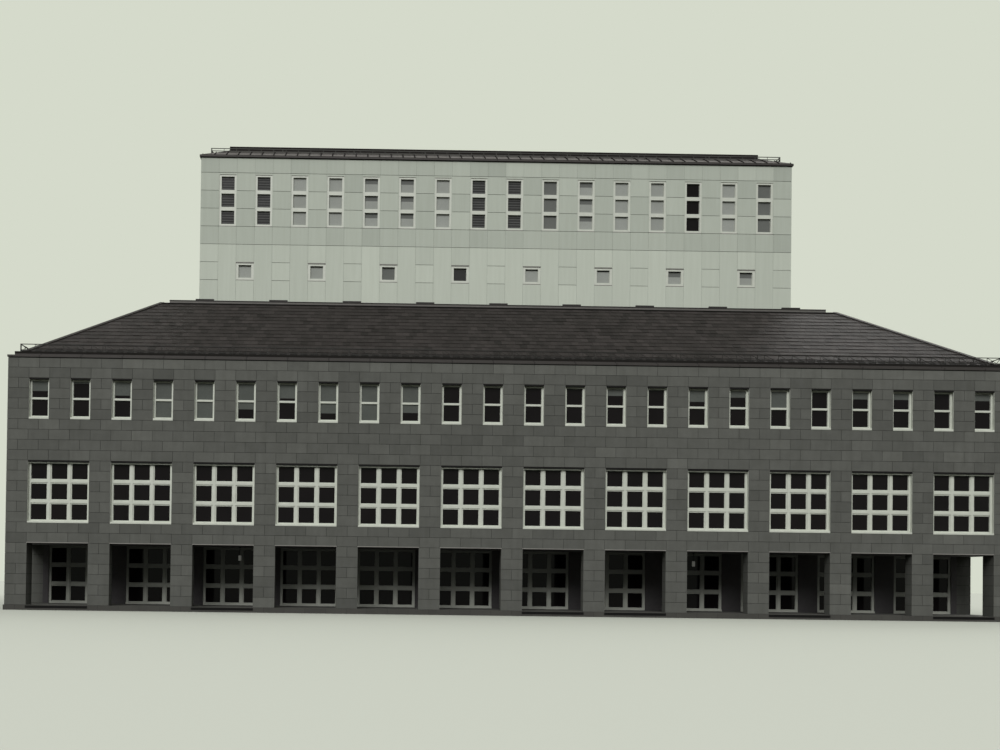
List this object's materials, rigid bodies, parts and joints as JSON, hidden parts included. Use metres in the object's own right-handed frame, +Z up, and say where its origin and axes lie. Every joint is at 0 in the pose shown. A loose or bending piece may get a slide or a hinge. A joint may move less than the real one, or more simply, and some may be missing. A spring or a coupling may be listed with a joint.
{
  "type": "library building, 1:2 scale model",
  "caption": "Stone library block over open arcades, with a hipped slate roof round a set-back panelled upper block, hollow inside with its floors; half-size scale model.",
  "frame": {"origin": "middle of the underside of the plinth", "axes": "+Z up, -Y towards the front arcade, +X to the right seen from the front"},
  "size_m": [22.11, 16.71, 11.814],
  "materials": {
    "stone_cladding": "sawn grey-green natural stone slabs",
    "plinth_stone": "rough concrete and stone edge",
    "rendered_masonry": "grey render in the shade of the arcade",
    "concrete_floor": "cast concrete",
    "pale_panels": "smooth pale square panels with dark joints",
    "roof_slate": "split slate in even courses",
    "roof_sheet_metal": "weathered grey sheet with standing seams",
    "roof_membrane": "dark roofing membrane",
    "galvanised_guard": "weathered galvanised steel",
    "white_window_frame": "white satin paint",
    "window_glass": "dark reflecting glass"
  },
  "bodies": {
    "root": {"front_arcade_piers": "stone_cladding", "back_arcade_piers": "stone_cladding", "side_piers": "stone_cladding", "front_wall": "stone_cladding", "back_wall": "stone_cladding", "left_wall": "stone_cladding", "right_wall": "stone_cladding", "ground_floor": "plinth_stone", "front_recess_piers": "rendered_masonry", "back_recess_piers": "rendered_masonry", "recess_lintels": "rendered_masonry", "arcade_ceilings": "rendered_masonry", "first_floor": "concrete_floor", "second_floor": "concrete_floor", "attic_floor": "concrete_floor", "upper_first_floor": "concrete_floor", "upper_second_floor": "concrete_floor", "upper_front_wall": "pale_panels", "upper_back_wall": "pale_panels", "upper_left_wall": "pale_panels", "upper_right_wall": "pale_panels", "front_roof_slope": "roof_slate", "back_roof_slope": "roof_slate", "left_roof_slope": "roof_slate", "right_roof_slope": "roof_slate", "low_eaves": "roof_sheet_metal", "hip_caps": "roof_sheet_metal", "roof_decks": "roof_sheet_metal", "upper_eaves": "roof_sheet_metal", "upper_roof": "roof_membrane", "low_snow_guards": "galvanised_guard", "upper_snow_guards": "galvanised_guard", "front_window_frames": "white_window_frame", "back_window_frames": "white_window_frame", "left_window_frames": "white_window_frame", "right_window_frames": "white_window_frame", "arcade_window_frames": "white_window_frame", "front_window_panes": "window_glass", "back_window_panes": "window_glass", "left_window_panes": "window_glass", "right_window_panes": "window_glass", "arcade_window_panes": "window_glass", "upper_window_panes": "window_glass"}
  },
  "joints": []
}
